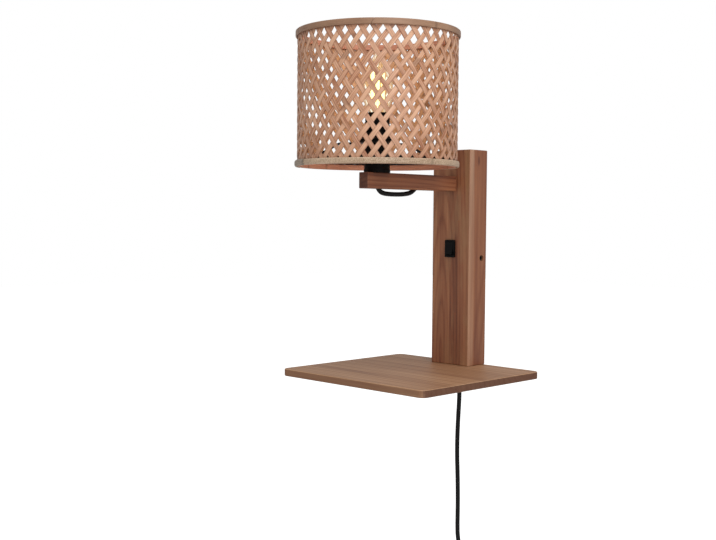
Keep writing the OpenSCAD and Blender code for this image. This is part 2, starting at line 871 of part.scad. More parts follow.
// Glass stem with the wires that carry the filaments: a middle wire, four arms at each end
// and a short post under each filament, each thinner than what it is joined to
module bulb_stem() {
  stem_top = filament_bottom - 3;
  neck_r = cap_r - 0.5 - glass_t - fit_gap;
  arm_start = 0.35;
  color([0.9, 0.9, 0.88, 0.6])
    on_holder_axis() {
      rotate_extrude($fn = 48)
        polygon([
          [0, bulb_neck - 8], [neck_r, bulb_neck - 8], [neck_r, bulb_neck - 6],
          [2, bulb_neck + 2], [1.6, stem_top], [0, stem_top]
        ]);
      translate([0, 0, stem_top - cut])
        cylinder(d = 1, h = filament_h + 5 + cut, $fn = 24);
      for (k = [0 : 3])
        rotate([0, 0, 45 + 90 * k]) {
          for (z = [stem_top - 0.6, filament_bottom + filament_h + 0.6])
            translate([arm_start, 0, z])
              rotate([0, 90, 0])
                cylinder(d = 0.6, h = filament_ring + 0.4 - arm_start, $fn = 16);
          translate([filament_ring, 0, stem_top - 0.6])
            cylinder(d = 0.5, h = 3.6 - fit_gap, $fn = 16);
        }
    }
}

module bulb_filaments() {
  color([1, 0.85, 0.55])
    on_holder_axis()
      for (k = [0 : 3])
        rotate([0, 0, 45 + 90 * k])
          translate([filament_ring, 0, filament_bottom])
            cylinder(d = filament_d, h = filament_h + 0.2, $fn = 16);
}

// ---- Switch ----

module switch_housing() {
  color(black_plastic)
    difference() {
      union() {
        slab_y(0, switch_z, column_front - bezel_t, column_front, bezel_w, bezel_h, 1);
        slab_y(0, switch_z, column_front - 0.5, switch_back, body_w, body_h, 0.5);
      }
      slab_y(
        0, switch_z, column_front - bezel_t - cut, column_front + cavity_depth, cavity_w, cavity_h, 0.4
      );
      translate([-bezel_w / 2 - cut, pivot_y, switch_z])
        rotate([0, 90, 0])
          intersection() {
            cylinder(r = pivot_r + fit_gap, h = bezel_w + 2 * cut);
            translate([-3, -3, (bezel_w - body_w) / 2 + cut + 0.3])
              cube([6, 6, body_w - 0.6]);
          }
    }
}

// The rocker seen from the side, level: a hollowed front face, ends that clear the cavity
// as it tips, and a blunt back. Coordinates are (forward, up) from the pivot.
function rocker_outline() =
  let (
    reach = cavity_h / 2 - 0.15,
    lip = 3.2,
    half = sqrt(reach * reach - lip * lip) - 0.05,
    steps = 8
  )
  concat(
    [for (k = [0 : steps])
      let (u = -1 + 2 * k / steps)
        [lip - 1.3 * (1 - u * u), u * half]],
    [[0, reach], [-1.5, reach - 0.6], [-4.5, 3], [-4.5, -3], [-1.5, 0.6 - reach], [0, -reach]]
  );

module switch_rocker() {
  color(black_plastic)
    translate([0, pivot_y, switch_z])
      rotate([-rocker_travel / 2, 0, 0]) {
        rotate([90, 0, 90])
          linear_extrude(cavity_w - 0.4, center = true)
            polygon([for (p = rocker_outline()) [-p[0], p[1]]]);
        rotate([0, 90, 0])
          cylinder(r = pivot_r, h = body_w - 0.8, center = true);
      }
}

module switch_terminals() {
  color(brass)
    for (side = [-1, 1])
      difference() {
        translate([-2.4, switch_back, switch_z + side * tab_pitch / 2 - 0.4])
          cube([4.8, tab_length, 0.8]);
        translate([0, switch_back + tab_length - 2.2, switch_z + side * tab_pitch / 2 - 2])
          cylinder(d = 1.6, h = 4);
      }
}

// ---- Wiring inside the lamp ----

module arm_cable() {
  color(black_plastic)
    cable(arm_cable_route, cord_d, 10, [1, 0, 0]);
}

module column_lead() {
  color(black_plastic)
    cable(column_lead_route, cord_d, 8);
}

// The arm cable's two cores, up into the wells of the contact block
module holder_wires() {
  color([0.35, 0.18, 0.1])
    for (side = [-1, 1])
      cable(
        [for (p = [[1.3, 0.1], [1.3, 1.2], [3.2, 3], [6, 4.4], [7, 6], [7, 9]])
          [side * p[0], holder_y, arm_under + 39.5 + p[1]]],
        2, 6
      );
}

module switch_wires() {
  color([0.35, 0.18, 0.1]) {
    cable(upper_wire_route, 2, 6, [1, 0, 0.2]);
    cable(lower_wire_route, 2, 6, [1, 0, 0.2]);
  }
}

module connector_block() {
  color([0.9, 0.9, 0.88])
    translate([-connector_size.x / 2, pocket_floor, connector_z - connector_size.z / 2])
      difference() {
        cube(connector_size);
        for (x = [0.27, 0.73])
          for (z = [0.25, 0.75])
            translate([connector_size.x * x, connector_size.y - 3, connector_size.z * z])
              rotate([-90, 0, 0])
                cylinder(d = 3.4, h = 3 + cut);
      }
}

module cord_clamp() {
  color([0.9, 0.9, 0.88])
    difference() {
      slab_z([0, pocket_floor + clamp_size.y / 2, clamp_z], clamp_size, 2);
      translate([0, lead_y, clamp_z - clamp_size.z])
        cylinder(r = cord_d / 2 + fit_gap, h = 2 * clamp_size.z);
      clamp_screw_places()
        translate([0, 0, -cut])
          cylinder(r = clamp_screw_d / 2 + fit_gap, h = clamp_size.y + 2 * cut);
    }
}

// A block about a centre, with round upright edges
module slab_z(centre, size, corner) {
  translate(centre)
    linear_extrude(size.z, center = true)
      rounded_outline(size.x, size.y, corner);
}

// Clamp screws point from the pocket's mouth towards its floor
module clamp_screw_places() {
  for (x = [-clamp_screw_x, clamp_screw_x])
    translate([x, pocket_floor + clamp_size.y, clamp_z])
      rotate([90, 0, 0])
        children();
}

module clamp_screws() {
  color(steel)
    clamp_screw_places() {
      translate([0, 0, -1.8])
        difference() {
          cylinder(d = 5.6, h = 1.8);
          driver_slot(7, 0.8, 0.9);
        }
      cylinder(d = clamp_screw_d, h = clamp_size.y - 0.05);
    }
}

// ---- Mains cord, its coil and its plug ----

module mains_cord() {
  color(black_plastic)
    cable(mains_cord_route, cord_d, 8);
}

// Middle of the coiled cord after so many turns, wound downwards from its right-hand side
function coil_point(turns) =
  let (
    layer = min(floor(turns / layer_turns), coil_layers - 1),
    within = turns - layer * layer_turns,
    inwards = layer % 2 == 0 ? within : layer_turns - within,
    radius = coil_r - coil_pitch * inwards,
    angle = -360 * turns,
    nearest = min(max(round(turns / layer_turns), 1), coil_layers - 1),
    climb = min(max((turns - nearest * layer_turns) * 2 + 0.5, 0), 1),
    smooth = climb * climb * (3 - 2 * climb)
  )
  [
    coil_x + radius * cos(angle),
    coil_y - coil_pitch * (nearest - 1 + smooth),
    coil_z + radius * sin(angle)
  ];

module cord_coil() {
  rings = coil_turns * rings_per_turn;
  winding = [for (k = [0 : rings]) coil_point(k / rings_per_turn)];
  route = concat(
    [[coil_x + coil_r, coil_y, coil_z + straight_end]],
    winding,
    [[coil_x + coil_r, tail_y, coil_z - straight_end]]
  );
  half_turn = rings_per_turn / 2;
  least = min([
    for (i = [0 : rings - half_turn])
      for (j = [i + half_turn : rings])
        norm(winding[i] - winding[j])
  ]) - cord_d;
  length = straight_end * 2 + sum_of([for (k = [1 : rings]) norm(winding[k] - winding[k - 1])]);
  echo("least gap between the coil's turns, mm", least);
  echo("length of cord in the coil, mm", length);
  color(black_plastic)
    cable(route, cord_d, 6);
}

function sum_of(values, i = 0) = i < len(values) ? values[i] + sum_of(values, i + 1) : 0;

module cord_tail() {
  color(black_plastic)
    translate([coil_x + coil_r, tail_y, plug_top])
      rotate([0, 0, 22.5])
        cylinder(d = cord_d, h = tail_length, $fn = 16);
}

// A strap round all the turns, at the top of the coil
module cord_tie() {
  turns_inner = coil_r - coil_pitch * (layer_turns - 0.25) - cord_d / 2;
  turns_outer = coil_r - coil_pitch * 0.25 + cord_d / 2;
  middle_r = (turns_inner + turns_outer) / 2;
  middle_y = (coil_y + tail_y) / 2;
  inside = [
    turns_outer - turns_inner + 2 * tie_gap,
    coil_y - tail_y + cord_d + 2 * soft_gap
  ];
  color([0.15, 0.15, 0.15])
    translate([coil_x, middle_y, coil_z + middle_r])
      rotate([0, 90, 0])
        linear_extrude(tie_w, center = true)
          difference() {
            rounded_outline(inside[0] + 2 * tie_t, inside[1] + 2 * tie_t, 3.2);
            rounded_outline(inside[0], inside[1], 2);
          }
}

module plug_body() {
  x = coil_x + coil_r;
  body_top = plug_face + plug_length;
  color(black_plastic) {
    translate([x, tail_y, 0])
      rotate_extrude($fn = 48)
        polygon(concat(
          [[0, body_top - 4], [5, body_top - 4], [5, body_top]],
          [for (k = [0 : 3])
            let (z = body_top + 2 + 4 * k, r = 4.7 - 0.35 * k)
              each [[r - 0.8, z - 0.6], [r, z], [r, z + 1.6], [r - 0.8, z + 2.2]]],
          [[3.2, plug_top], [0, plug_top]]
        ));
    translate([x, tail_y, 0])
      plug_grip(body_top);
  }
}

// The moulded grip: full width at the pins, drawn in towards the cord
module plug_grip(body_top) {
  hull() {
    translate([0, 0, plug_face])
      linear_extrude(9)
        rounded_outline(plug_w, plug_t, 3);
    translate([0, 0, body_top - 12])
      linear_extrude(4)
        rounded_outline(plug_w * 0.62, plug_t * 0.9, 4);
    translate([0, 0, body_top - 1])
      linear_extrude(1)
        rounded_outline(13, 11, 5);
  }
}

module plug_pins() {
  color(steel)
    for (side = [-1, 1])
      translate([coil_x + coil_r + side * pin_spacing / 2, tail_y, plug_face - pin_length])
        cylinder(d = pin_d, h = pin_length);
}

// ---- Assembly ----

column();
arm();
arm_screw();
shelf();
shelf_screws();
wall_bracket();
bracket_screws();
threaded_nipple();
lampholder_cap();
lampholder_sleeve();
contact_block();
screw_shell();
centre_contact();
shade_ring_nut();
shade_carrier();
top_hoop_outer();
top_hoop_inner();
bottom_hoop_outer();
bottom_hoop_inner();
strips_leaning_right();
strips_leaning_left();
bulb_glass();
bulb_screw_cap();
bulb_contact();
bulb_stem();
bulb_filaments();
switch_housing();
switch_rocker();
switch_terminals();
arm_cable();
connector_block();
holder_wires();
switch_wires();
column_lead();
cord_clamp();
clamp_screws();
mains_cord();
cord_coil();
cord_tail();
cord_tie();
plug_body();
plug_pins();
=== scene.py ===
# %% [markdown]
# # A wooden wall lamp with a shelf
# The lamp hangs on a wall: a column on a small shelf, an arm near the column's top, and on the arm
# a lampholder with a candle bulb and a drum shade woven from bamboo. The solids come from the CAD
# model and already stand in their places, in metres. This lesson dresses them: it weaves the shade,
# bends the hoops, lays the cord, and gives every piece a finish made of shader nodes. Z is up, the
# wall is the plane y = 0, and the lamp stands out from it towards -y.

# %% Load the model
import math
import random

import bpy
from mathutils import Matrix, Vector


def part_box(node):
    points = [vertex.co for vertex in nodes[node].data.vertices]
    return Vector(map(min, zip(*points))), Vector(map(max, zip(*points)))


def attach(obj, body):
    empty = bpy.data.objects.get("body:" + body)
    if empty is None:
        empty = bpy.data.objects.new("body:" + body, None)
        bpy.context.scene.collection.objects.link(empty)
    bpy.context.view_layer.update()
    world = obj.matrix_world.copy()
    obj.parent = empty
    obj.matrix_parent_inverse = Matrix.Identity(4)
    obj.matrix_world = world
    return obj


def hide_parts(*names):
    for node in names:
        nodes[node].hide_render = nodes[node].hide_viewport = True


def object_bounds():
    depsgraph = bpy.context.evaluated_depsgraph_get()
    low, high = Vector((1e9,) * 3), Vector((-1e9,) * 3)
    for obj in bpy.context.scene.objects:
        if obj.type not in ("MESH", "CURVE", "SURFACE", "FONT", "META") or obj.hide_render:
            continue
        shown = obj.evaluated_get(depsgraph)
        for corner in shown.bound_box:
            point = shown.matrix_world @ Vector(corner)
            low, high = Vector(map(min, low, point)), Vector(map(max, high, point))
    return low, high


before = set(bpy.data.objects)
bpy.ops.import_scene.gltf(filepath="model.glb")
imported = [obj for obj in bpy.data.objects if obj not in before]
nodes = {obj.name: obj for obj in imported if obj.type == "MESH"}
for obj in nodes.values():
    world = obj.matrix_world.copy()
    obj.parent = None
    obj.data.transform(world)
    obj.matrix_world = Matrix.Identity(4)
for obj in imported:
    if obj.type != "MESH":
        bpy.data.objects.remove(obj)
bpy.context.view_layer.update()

# %% [markdown]
# ## The camera
# The camera stands where the photographer stood: to the lamp's right and a little above the
# switch, looking almost level. Its place, its turn and its lens were worked out beforehand from
# the column's, shelf's and shade's edges, so they are plain numbers here. A camera looks along
# its own -Z, with +Y up, so its matrix is built from the three directions of the picture.

# %% Place the camera
IMAGE_WIDTH = 716          # pixels
SENSOR_WIDTH = 36          # millimetres


def place_camera(azimuth, elevation, roll, focal_px, place):
    a, e, r = (math.radians(v) for v in (azimuth, elevation, roll))
    forward = Vector((-math.sin(a) * math.cos(e), math.cos(a) * math.cos(e), -math.sin(e)))
    level = Vector((math.cos(a), math.sin(a), 0))
    upright = level.cross(forward)
    right = math.cos(r) * level + math.sin(r) * upright
    up = math.cos(r) * upright - math.sin(r) * level
    camera = bpy.data.objects.new("camera", bpy.data.cameras.new("camera"))
    bpy.context.scene.collection.objects.link(camera)
    turn = Matrix((right, up, -forward)).transposed()
    camera.matrix_world = Matrix.Translation(place) @ turn.to_4x4()
    camera.data.sensor_fit = "HORIZONTAL"
    camera.data.sensor_width = SENSOR_WIDTH
    camera.data.lens = focal_px / IMAGE_WIDTH * SENSOR_WIDTH
    camera.data.clip_start = 0.01
    return camera


camera = place_camera(azimuth=44.778, elevation=2.862, roll=0.426, focal_px=1070.904,
                      place=Vector((0.835279, -1.033907, 0.049233)))
bpy.context.scene.camera = camera
bpy.context.scene.view_settings.view_transform = "Standard"
print("lens", round(camera.data.lens, 2), "mm")

# %% [markdown]
# ## Hands for the modelling
# Blender's operators act on what is selected, so each step first clears the selection and then
# picks one object. Operators on a mesh need edit mode, so `edit` goes there, runs its steps and
# comes back.

# %% Small helpers
def pick(*pieces):
    """Select these objects and nothing else."""
    bpy.ops.object.select_all(action="DESELECT")
    for piece in pieces:
        piece.select_set(True)
    bpy.context.view_layer.objects.active = pieces[0]


def settle(piece):
    """Put the object's place and size into its mesh."""
    pick(piece)
    bpy.ops.object.transform_apply(location=True, rotation=True, scale=True)
    return piece


def modify(piece, kind, **values):
    """Add one modifier and apply it at once."""
    pick(piece)
    modifier = piece.modifiers.new(kind.lower(), kind)
    for key, value in values.items():
        setattr(modifier, key, value)
    bpy.ops.object.modifier_apply(modifier=modifier.name)
    return piece


def edit(piece, *steps):
    """Run mesh operators, each on the whole mesh. A step is an operator and its settings."""
    pick(piece)
    bpy.ops.object.mode_set(mode="EDIT")
    for operator, settings in steps:
        bpy.ops.mesh.select_all(action="SELECT")
        operator(**settings)
    bpy.ops.object.mode_set(mode="OBJECT")
    return piece


def smooth(piece, degrees=35):
    """Smooth shading with sharp edges kept."""
    pick(piece)
    bpy.ops.object.shade_smooth_by_angle(angle=math.radians(degrees))
    return piece


print("modelling helpers ready")

# %% [markdown]
# A piece is finished when its modifiers are applied, it wears its material and it rides on a body
# of the model. Its slot groups it with the pieces of the same stuff.

# %% Dress and finish a piece
def dress(piece, material):
    """Take off what the piece wears and give it this material."""
    piece.data.materials.clear()
    piece.data.materials.append(material)
    return piece


def finish(piece, material, body="lamp", replaces=()):
    """Give a new piece its material, its body and the CAD nodes that it stands for."""
    dress(piece, material)
    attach(piece, body)
    if replaces:
        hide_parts(*replaces)
    return piece


print("finishing helpers ready")

# %% [markdown]
# ## The cord
# The cord comes out of the shelf behind its middle, hangs down the wall, and its spare length is
# put away in a small tied coil with the plug below it, out of the picture. A cord is a tube of one
# length, so it is a curve with a round bevel. The points are the ones that the solid cord follows,
# because the coil's turns must lie exactly a cord's width apart.

# %% Points of the hanging cord
CORD_D = 0.0055

# Down the wall and into the coil, in millimetres.
hanging = [
    (0, -14, -138.5), (0, -14, -142), (0.2, -13.8, -152), (0.6, -13.6, -166), (0.5, -13.9, -180),
    (0, -14.3, -194), (-0.4, -14.6, -208), (-0.7, -14.8, -222), (-0.8, -14.8, -236),
    (-0.7, -14.6, -250), (-0.3, -14.3, -264), (0, -14, -278), (0.2, -13.8, -292),
    (0.3, -13.7, -306), (0.3, -13.7, -320), (0.4, -13.8, -334), (1.2, -13.9, -346),
    (4, -14, -358), (9.5, -14, -370), (17.5, -14, -382), (25.5, -14, -394),
    (31.5, -14, -405), (34.7, -14, -413.5), (35.4, -14, -418.5), (35.4, -14, -421.5),
]
# The coil, in millimetres: its outer radius, the place of its middle, and from turn to turn.
COIL_R, COIL_Y, COIL_Z, PITCH = 35.4, -14, -427, 6.0
LAYERS, LAYER_TURNS, POINTS_A_TURN = 4, 2, 24


def coil_point(turns):
    """The coil's line after so many turns: four flat layers, wound in and out in turn."""
    layer = min(int(turns / LAYER_TURNS + 1e-9), LAYERS - 1)
    within = turns - layer * LAYER_TURNS
    inwards = within if layer % 2 == 0 else LAYER_TURNS - within
    radius = COIL_R - PITCH * inwards
    nearest = min(max(round(turns / LAYER_TURNS), 1), LAYERS - 1)
    climb = min(max((turns - nearest * LAYER_TURNS) * 2 + 0.5, 0), 1)
    depth = nearest - 1 + climb * climb * (3 - 2 * climb)
    a = -2 * math.pi * turns
    return (radius * math.cos(a), COIL_Y - PITCH * depth, COIL_Z + radius * math.sin(a))


last_point = LAYERS * LAYER_TURNS * POINTS_A_TURN
turns = [coil_point(k / POINTS_A_TURN) for k in range(last_point + 1)]
tail = [(COIL_R, COIL_Y - (LAYERS - 1) * PITCH, z) for z in (-432.5, -439, -446, -453)]
cord_points = [Vector(p) / 1000 for p in hanging + turns + tail]

# %% [markdown]
# The lamp has one more cable that shows: it leaves the lampholder, hangs in a small loop under the
# arm and goes up into the arm's groove. A curve is chosen for both because it keeps its round
# section in every bend, and because its points can be moved later.

# %% Lay the cords as curves
def tube(name, points, diameter):
    """A cord: a smooth curve through these points, with a round bevel."""
    data = bpy.data.curves.new(name, "CURVE")
    data.dimensions = "3D"
    data.bevel_depth = diameter / 2
    data.bevel_resolution = 3
    data.resolution_u = 3
    data.use_fill_caps = True
    spline = data.splines.new("BEZIER")
    spline.bezier_points.add(len(points) - 1)
    for knot, point in zip(spline.bezier_points, points):
        knot.co = point
        knot.handle_left_type = knot.handle_right_type = "AUTO"
    piece = bpy.data.objects.new(name, data)
    bpy.context.scene.collection.objects.link(piece)
    return piece


hanging_cord = tube("hanging_cord", cord_points, CORD_D)

# The cable under the arm, in millimetres: out of the lampholder, in a loop, up into the groove.
holder_y, loop_end, arm_under, column_front = -163, -99, 80.5, -33
loop_shape = [
    (0, 39.5), (0, 25.5), (0, 13.5), (0.003, 6.5), (0.025, 1.5), (0.078, -2.5), (0.17, -4.7),
    (0.3, -5.5), (0.45, -5.7), (0.61, -5.5), (0.75, -4.8), (0.86, -3.5), (0.94, -1.2), (1, 1.5),
]
groove_run = [
    (-61, 3.4), (-55, 3.9), (-42, 3.9), (-27, 3.9), (-12, 3.9), (3, 3.9), (9, 3.9), (12.6, 1.6),
    (14.9, -2.8), (15.5, -9.5), (15.5, -18.5),
]
loop_points = [
    Vector((0, holder_y + t * (loop_end - holder_y), arm_under + z)) / 1000 for t, z in loop_shape
] + [Vector((0, column_front + y, arm_under + z)) / 1000 for y, z in groove_run]
loop_cable = tube("loop_cable", loop_points, CORD_D)

# %% [markdown]
# ## A small language for finishes
# A finish is a sheet of shader nodes. Wiring them one by one is slow to write and hard to read, so
# two small classes help. `Wire` stands for one output, and Python's own + - * / add the Math nodes,
# so a mask reads like the formula that it is.

# %% Wire
class Wire:
    def __init__(self, sheet, socket):
        self.sheet, self.socket = sheet, socket

    def _math(self, operation, *values, clamp=False):
        settings = {"operation": operation, "use_clamp": clamp}
        return self.sheet.add("ShaderNodeMath", settings, dict(enumerate(values)))

    def __add__(self, other): return self._math("ADD", self, other)
    def __sub__(self, other): return self._math("SUBTRACT", self, other)
    def __rsub__(self, other): return self._math("SUBTRACT", other, self)
    def __mul__(self, other): return self._math("MULTIPLY", self, other)
    def __truediv__(self, other): return self._math("DIVIDE", self, other)
    def __pow__(self, other): return self._math("POWER", self, other)
    __radd__, __rmul__ = __add__, __mul__

    def sin(self): return self._math("SINE", self)
    def abs(self): return self._math("ABSOLUTE", self)
    def root(self): return self._math("SQRT", self)
    def within(self): return self._math("MULTIPLY", self, 1.0, clamp=True)

    def ease(self, low, high):
        """0 below low, 1 above high, and a smooth step between them."""
        settings = {"interpolation_type": "SMOOTHSTEP"}
        return self.sheet.add("ShaderNodeMapRange", settings, {0: self, 1: low, 2: high})


print("Wire ready")

# %% [markdown]
# `Sheet` is one material. It makes every other node with one call: its type, its settings, then its
# inputs. Its short methods are the nodes that these finishes need most: a stretched place, noise, a
# mix of two colours, and relief.

# %% Sheet
class Sheet:
    def __init__(self, name):
        self.material = bpy.data.materials.new(name)
        self.material.use_nodes = True
        self.tree = self.material.node_tree
        self.tree.nodes.clear()
        self.place = self.add("ShaderNodeTexCoord", out="Object")

    def add(self, kind, settings=None, inputs=None, out=0):
        """A new node: its type, its settings, its inputs, and which output is wanted."""
        node = self.tree.nodes.new(kind)
        for key, value in (settings or {}).items():
            if key == "stops":
                ramp = node.color_ramp.elements
                while len(ramp) < len(value):
                    ramp.new(0.5)
                for stop, (where, colour) in zip(ramp, value):
                    stop.position, stop.color = where, (*colour, 1)
            else:
                setattr(node, key, value)
        for key, value in (inputs or {}).items():
            if isinstance(value, Wire):
                self.tree.links.new(value.socket, node.inputs[key])
            else:
                node.inputs[key].default_value = value
        return Wire(self, node.outputs[out])

    def axes(self, vector=None):
        """The x, y and z of a vector, each as a Wire."""
        node = self.add("ShaderNodeSeparateXYZ", None, {0: vector or self.place}).socket.node
        return [Wire(self, socket) for socket in node.outputs]

    def stretch(self, scale, location=(0, 0, 0), rotation=(0, 0, 0), vector=None):
        """A vector, by default the place on the object, turned, scaled and shifted."""
        inputs = {"Vector": vector or self.place, "Scale": scale, "Location": location,
                  "Rotation": [math.radians(a) for a in rotation]}
        return self.add("ShaderNodeMapping", None, inputs)

    def noise(self, vector, scale=1.0, detail=2.0, roughness=0.5):
        inputs = {"Vector": vector, "Scale": scale, "Detail": detail, "Roughness": roughness}
        return self.add("ShaderNodeTexNoise", None, inputs)

    def blend(self, share, a, b):
        """Two colours, mixed by share."""
        a, b = ((*c, 1) if isinstance(c, tuple) else c for c in (a, b))
        return self.add("ShaderNodeMix", {"data_type": "RGBA"}, {0: share, 6: a, 7: b}, out=2)

    def bump(self, height, distance):
        """Small relief, its distance in metres."""
        return self.add("ShaderNodeBump", None, {"Height": height, "Distance": distance})

    def done(self, **inputs):
        """The Principled surface; names are written with _ for a space."""
        named = {}
        for key, value in inputs.items():
            opaque = isinstance(value, tuple) and len(value) == 3
            named[key.replace("_", " ")] = (*value, 1) if opaque else value
        surface = self.add("ShaderNodeBsdfPrincipled", None, named)
        self.add_output(surface)
        return self.material

    def add_output(self, surface):
        node = self.tree.nodes.new("ShaderNodeOutputMaterial")
        self.tree.links.new(surface.socket, node.inputs["Surface"])


def rgb(red, green, blue):
    """A colour of 0 to 255 as the eye sees it, in the linear numbers that shaders use."""
    return tuple((c / 255 / 12.92) if c <= 10 else ((c / 255 + 0.055) / 1.055) ** 2.4
                 for c in (red, green, blue))


print("Sheet and rgb ready")

# %% [markdown]
# ## The wood
# Column, arm and shelf are oiled reddish brown wood. A board is a slice of a log: its pattern is
# rings round a heart line, drawn out along the grain. Where that line leans a little against the
# board's face, the rings open into the pointed arches of a plain-sawn board. So the colour is made
# from the distance to such a leaning line, warped a little, with broad bands, fine fibres and short
# dark pores on top. End grain drinks more oil, so a face that looks along the grain is darker.

# %% One recipe for three boards
WOOD_TONES = ((0.0, rgb(90, 46, 27)), (0.32, rgb(132, 78, 50)), (0.66, rgb(158, 103, 69)),
              (1.0, rgb(190, 138, 99)))


def wood(name, turn, heart, lean=0.0, ring=0.005, seed=0.0, tones=WOOD_TONES, extra=None):
    """turn brings the grain to Z; heart is the line's place across the grain, ring the
    distance from ring to ring, both in metres; lean is the line's slope."""
    s = Sheet(name)
    p = s.stretch((1, 1, 1), rotation=turn)
    own = s.stretch((1, 1, 1), (seed, seed * 0.7, seed * 1.3), vector=p)
    slow = s.noise(s.stretch((24, 24, 3), vector=own), 1, 2) - 0.5
    sway = s.noise(s.stretch((7, 7, 5), vector=own), 1, 2) - 0.5
    broad = s.noise(s.stretch((75, 75, 3.5), vector=own), 1, 3, 0.55) - 0.5
    band = s.noise(s.stretch((330, 330, 7), vector=own), 1, 3, 0.6) - 0.5
    fibre = s.noise(s.stretch((1500, 1500, 26), vector=own), 1, 4, 0.6) - 0.5
    pore = s.noise(s.stretch((2600, 2600, 110), vector=own), 1, 1).ease(0.66, 0.74)
    x, y, z = s.axes(p)
    x = x - heart[0] + slow * 0.007 + sway * 0.01
    y = y - heart[1] - z * lean + sway * 0.008
    distance = (x * x + y * y).root() + broad * 0.0022
    rings = ((distance * (2 * math.pi / ring)).sin() * 0.5 + 0.5) ** 3
    tone = (0.5 + broad * 1.25 + band * 0.75 + fibre * 0.34 - rings * 0.2).within()
    colour = s.add("ShaderNodeValToRGB", {"stops": tones}, {0: tone})
    colour = s.blend(pore * 0.3, colour, tuple(c * 0.6 for c in tones[0][1]))
    normal = s.add("ShaderNodeTexCoord", out="Normal")
    along_grain = s.axes(s.stretch((1, 1, 1), rotation=turn, vector=normal))[2]
    end_grain = along_grain.abs().ease(0.6, 0.9)
    colour = s.blend(end_grain * 0.72, colour, rgb(66, 30, 18))
    if extra:
        colour = extra(s, colour, fibre)
    rough = 0.5 + fibre * 0.16 + rings * 0.05
    return s.done(Base_Color=colour, Roughness=rough,
                  Normal=s.bump(fibre * 0.5 + band * 0.4 - pore * 0.6, 0.0001))


# %% [markdown]
# The column has marks of its own: yellower clouds on its front, a pale streak of sapwood down the
# right side beside the front edge, which fades towards the foot, painted shade on that side behind
# the streak, a small knot high on the same side, and a dark ring of painted shade round the screw's
# hole, so that the hole looks as wide as its shaded inside. A knot is the root of a twig: a dark
# long oval. The arm has a painted shadow of the shade along its upper edge. The shelf's board lies
# with its grain along the wall. Its edges have painted shade, darker than its top, and the rounded
# corner between them a painted highlight. Each mark is a mask made from the place or the normal,
# and then one Mix node. All places are in metres.

# %% Streak, knot, painted shade and a painted highlight
SIDE_FROM, SIDE_TO = 0.0272, 0.0286      # x where the column's front turns into its right side
KNOT_Y, KNOT_Z = -0.0165, 0.117
HOLE_Y = -0.0095


def column_marks_and_shade(s, colour, fibre):
    x, y, z = s.axes()
    on_side = x.ease(SIDE_FROM, SIDE_TO)
    clouds = s.noise(s.stretch((55, 55, 11), (0.3, 0.1, 0.2)), 1, 3, 0.6).ease(0.42, 0.62)
    right_half = x.ease(-0.018, 0.02) * 0.55 + 0.2
    colour = s.blend(clouds * right_half * (1 - on_side), colour, rgb(150, 110, 76))

    wander = s.noise(s.stretch((20, 20, 9)), 1, 2) - 0.5
    edge = -0.0245 - z * 0.008 + wander * 0.007 + fibre * 0.003
    streak = (1 - (y - edge).ease(-0.0016, 0.0016)) * on_side
    fade = 0.42 + z * 1.0 + (s.noise(s.stretch((160, 160, 6)), 1, 2) - 0.5) * 0.9
    colour = s.blend((streak * fade).within(), colour, rgb(186, 148, 120))

    # painted shade: the back part of the column's right side, darker lower down
    painted_side_shade = y.ease(-0.026, -0.019) * on_side * (0.62 - z * 1.2).within()
    colour = s.blend(painted_side_shade * 0.6, colour, rgb(104, 56, 38))

    # painted shade: a dark ring round the screw's hole makes it look as wide as its shaded inside
    from_hole = ((y - HOLE_Y) ** 2.0 + z ** 2.0).root()
    painted_hole_shade = 1 - from_hole.ease(0.0029, 0.0038)
    colour = s.blend(painted_hole_shade * on_side * 0.85, colour, rgb(38, 20, 14))

    oval = ((y - KNOT_Y) / 0.0017) ** 2.0 + ((z - KNOT_Z) / 0.0052) ** 2.0
    knot = (1 - (oval.root() + fibre * 0.7).ease(0.6, 1.5)) * on_side
    return s.blend(knot * 0.62, colour, rgb(74, 34, 24))


def arm_painted_shadow(s, colour, fibre):
    # painted shadow of the shade along the arm's upper edge, broken up by the fibres
    upper = s.axes()[2].ease(0.0925, 0.0975)
    return s.blend((upper * (0.5 + fibre * 0.8)).within(), colour, rgb(78, 34, 20))


def shelf_painted_light(s, colour, fibre):
    upwards = s.axes(s.add("ShaderNodeTexCoord", out="Normal"))[2]
    # painted shade on the faces that don't look up, and a painted highlight on the rounded corner
    # between them and the top
    edge = 1 - upwards.ease(0.1, 0.5)
    painted_arris_highlight = upwards.ease(0.25, 0.5) * (1 - upwards.ease(0.88, 0.99))
    colour = s.blend((edge * (0.5 + fibre * 0.6)).within(), colour, rgb(98, 54, 26))
    return s.blend(painted_arris_highlight * 0.4, colour, rgb(206, 168, 130))


print("three sets of marks")

# %% [markdown]
# Column and arm are cut from the same darker wood. The shelf's tones are paler. Each board has its
# own heart line and its own seed, so no two show the same figure.

# %% Dress the boards
PALE_TONES = ((0.0, rgb(116, 74, 46)), (0.32, rgb(150, 107, 75)), (0.66, rgb(171, 129, 95)),
              (1.0, rgb(198, 158, 122)))
boards = {
    "column": wood("column wood", (0, 0, 0), (-0.016, -0.022), lean=0.1, seed=0.13,
                   extra=column_marks_and_shade),
    "arm": wood("arm wood", (90, 0, 0), (0.05, 0.06), lean=0.03, seed=0.41, extra=arm_painted_shadow),
    "shelf": wood("shelf wood", (0, 90, 0), (-0.11, -0.02), lean=0.05, ring=0.008, seed=0.77,
                  tones=PALE_TONES, extra=shelf_painted_light),
}
for node, material in boards.items():
    dress(nodes[node], material)
    print(node, "wears", material.name)

# %% [markdown]
# ## The woven shade
# Two families of flat bamboo strips climb the drum, one leaning right and one leaning left, and
# where they meet each passes over one strip and under the next. All the crossings at one height
# are alike, so one wave along the height says which family is on top. Hand weaving isn't even:
# round the back both families have crept a little, and on the right side they have spread.

